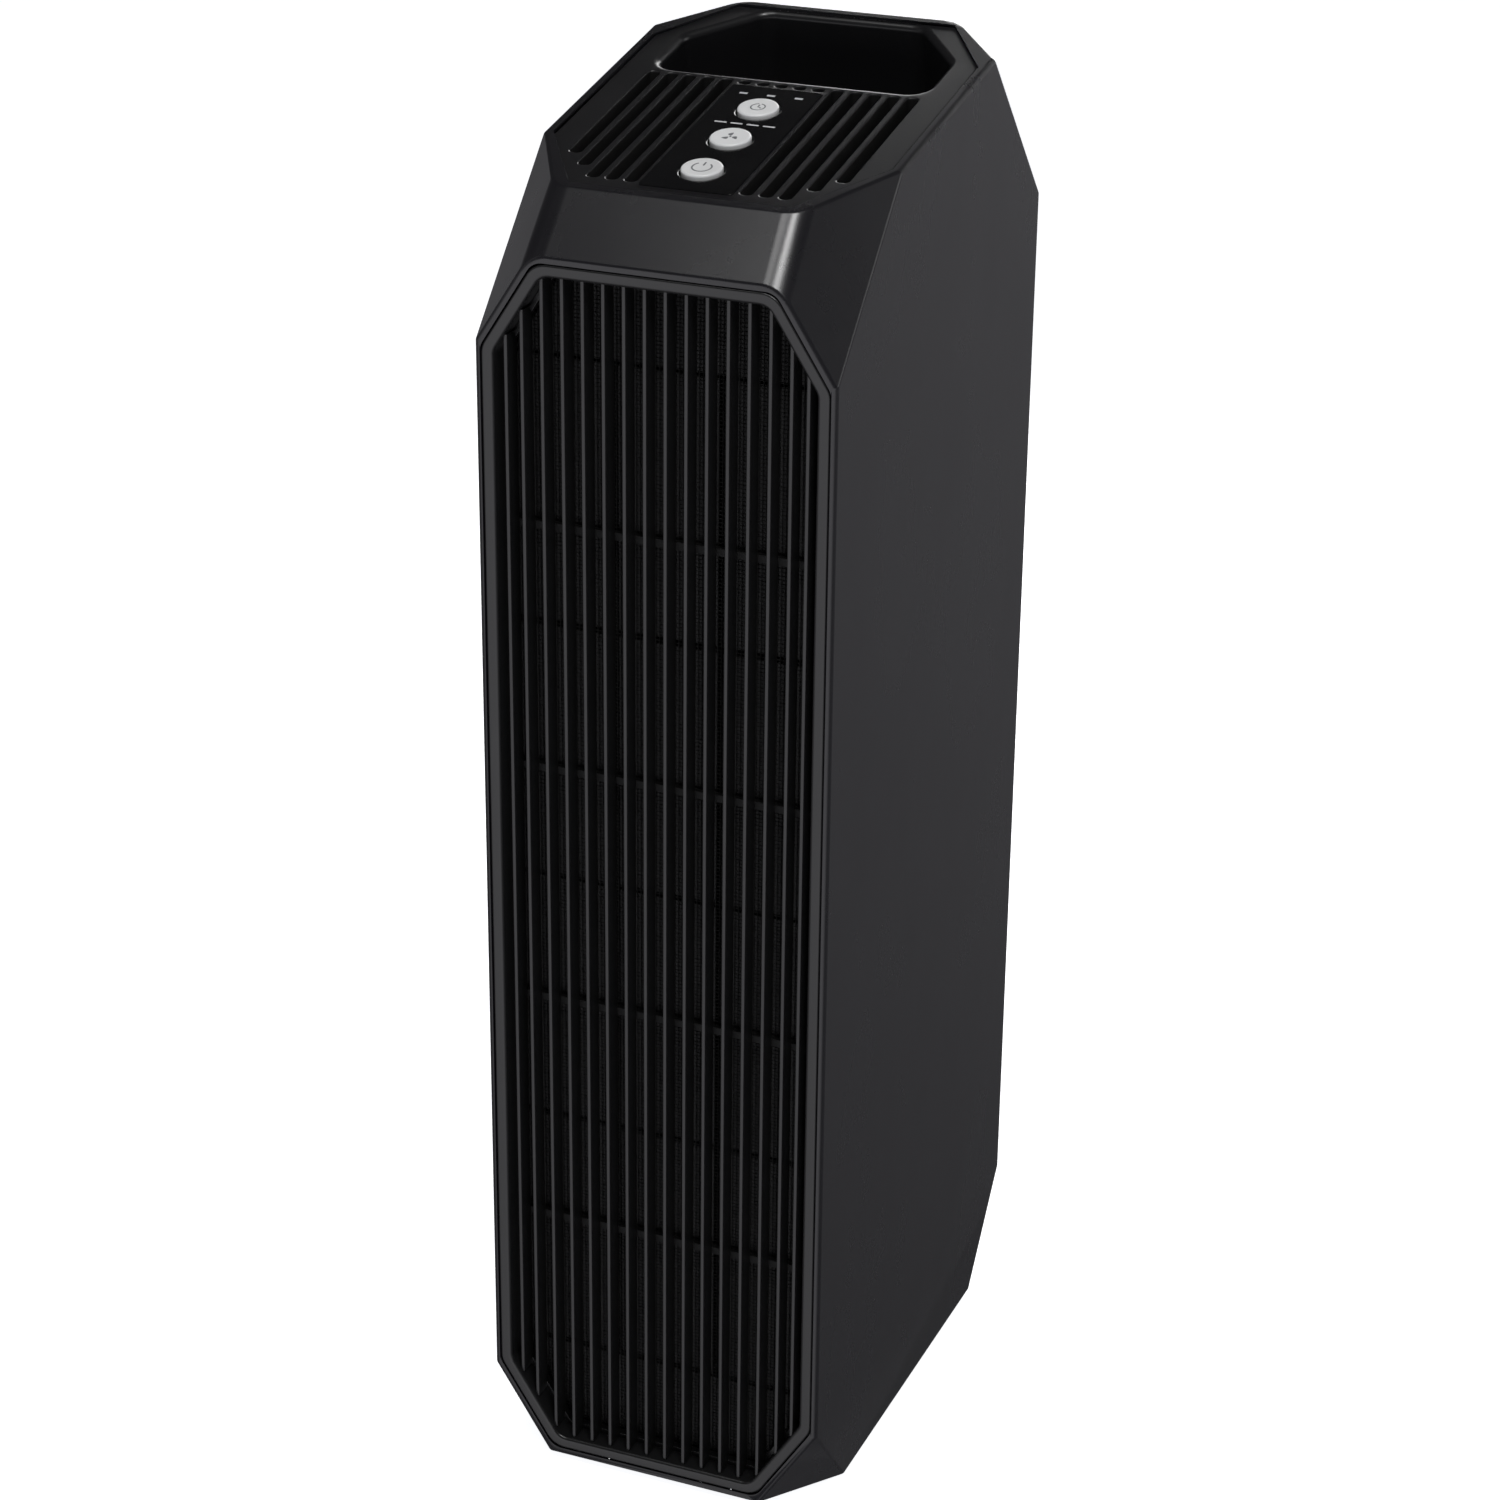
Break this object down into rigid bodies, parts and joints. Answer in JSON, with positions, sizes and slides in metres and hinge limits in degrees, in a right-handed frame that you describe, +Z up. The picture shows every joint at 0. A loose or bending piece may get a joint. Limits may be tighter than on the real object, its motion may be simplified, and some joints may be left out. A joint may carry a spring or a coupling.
{
  "type": "air purifier",
  "caption": "Faceted tower air purifier: upright finned front cover, slotted sloping top with push buttons and a rear hand recess, pleated filter and blower inside.",
  "frame": {"origin": "centre of the footprint, on the surface the feet stand on", "axes": "+Z up, front face towards -Y, +X to the right seen from the front"},
  "size_m": [0.136, 0.214, 0.5428],
  "materials": {
    "shell": "satin moulded charcoal plastic",
    "cover_black": "fine-textured black plastic",
    "panel_black": "satin black plastic",
    "strip_black": "smooth semi-gloss black plastic",
    "inner_black": "plain black plastic",
    "button_white": "smooth pale grey plastic",
    "foot_rubber": "soft black rubber",
    "mount_rubber": "soft black rubber",
    "screw_steel": "dark zinc-plated steel",
    "steel": "ground steel",
    "motor_steel": "pressed galvanised steel",
    "mesh": "fine woven nylon screen",
    "filter_white": "white moulded rim",
    "filter_paper": "pleated white filter paper",
    "carbon": "black carbon-loaded felt",
    "foam": "closed-cell grey foam",
    "tab": "woven blue ribbon",
    "wheel_grey": "dark grey moulded plastic",
    "board_green": "lacquered circuit board",
    "lens": "clear moulded plastic",
    "led": "pale moulded chip",
    "module_tin": "tinned steel can",
    "coil": "varnished winding block",
    "capacitor": "sleeved aluminium can",
    "pin_brass": "nickel-plated brass"
  },
  "bodies": {
    "body": {"body_shell": "shell", "rear_cover": "shell", "base_plate": "inner_black", "foot_pads": "foot_rubber", "rear_screws": "screw_steel", "prefilter_mesh": "mesh", "prefilter_frame": "inner_black", "filter_tray": "inner_black", "filter_frame": "filter_white", "filter_pleats": "filter_paper", "carbon_sheet": "carbon", "filter_gasket": "foam", "filter_tab": "tab", "scroll_cover": "inner_black", "scroll_housing": "inner_black", "motor_body": "motor_steel", "motor_bearings": "steel", "motor_mounts": "mount_rubber", "motor_screws": "screw_steel", "outlet_duct": "inner_black", "top_panel": "panel_black", "control_strip": "strip_black", "control_board": "board_green", "board_screws": "screw_steel", "tact_switches": "inner_black", "indicator_lens": "lens", "indicator_leds": "led", "wireless_module": "module_tin", "power_board": "board_green", "power_screws": "screw_steel", "mains_coil": "coil", "bulk_capacitor": "capacitor", "power_inlet": "inner_black", "inlet_pins": "pin_brass"},
    "front_cover": {"front_frame": "cover_black", "front_fins": "cover_black"},
    "blower": {"blower_wheel": "wheel_grey", "motor_shaft": "steel", "wheel_nut": "wheel_grey"},
    "power_button": {"power_button": "button_white"},
    "speed_button": {"speed_button": "button_white"},
    "timer_button": {"timer_button": "button_white"}
  },
  "joints": [
    {"name": "front_cover_tilt", "type": "hinge", "parent": "body", "child": "front_cover", "pos_m": [0, -0.1064, 0.0056], "axis": [1, 0, 0], "range_deg": [0, 25]},
    {"name": "blower_spin", "type": "hinge", "parent": "body", "child": "blower", "pos_m": [-0.0075, 0, 0.158], "axis": [0, -1, 0], "continuous": true},
    {"name": "power_press", "type": "slide", "parent": "body", "child": "power_button", "axis": [0, 0.1934, -0.9811], "range_m": [0, 0.0008], "stiffness_N_per_m": 400, "springref_m": -0.0008},
    {"name": "speed_press", "type": "slide", "parent": "body", "child": "speed_button", "axis": [0, 0.1934, -0.9811], "range_m": [0, 0.0008], "stiffness_N_per_m": 400, "springref_m": -0.0008},
    {"name": "timer_press", "type": "slide", "parent": "body", "child": "timer_button", "axis": [0, 0.1934, -0.9811], "range_m": [0, 0.0008], "stiffness_N_per_m": 400, "springref_m": -0.0008}
  ]
}
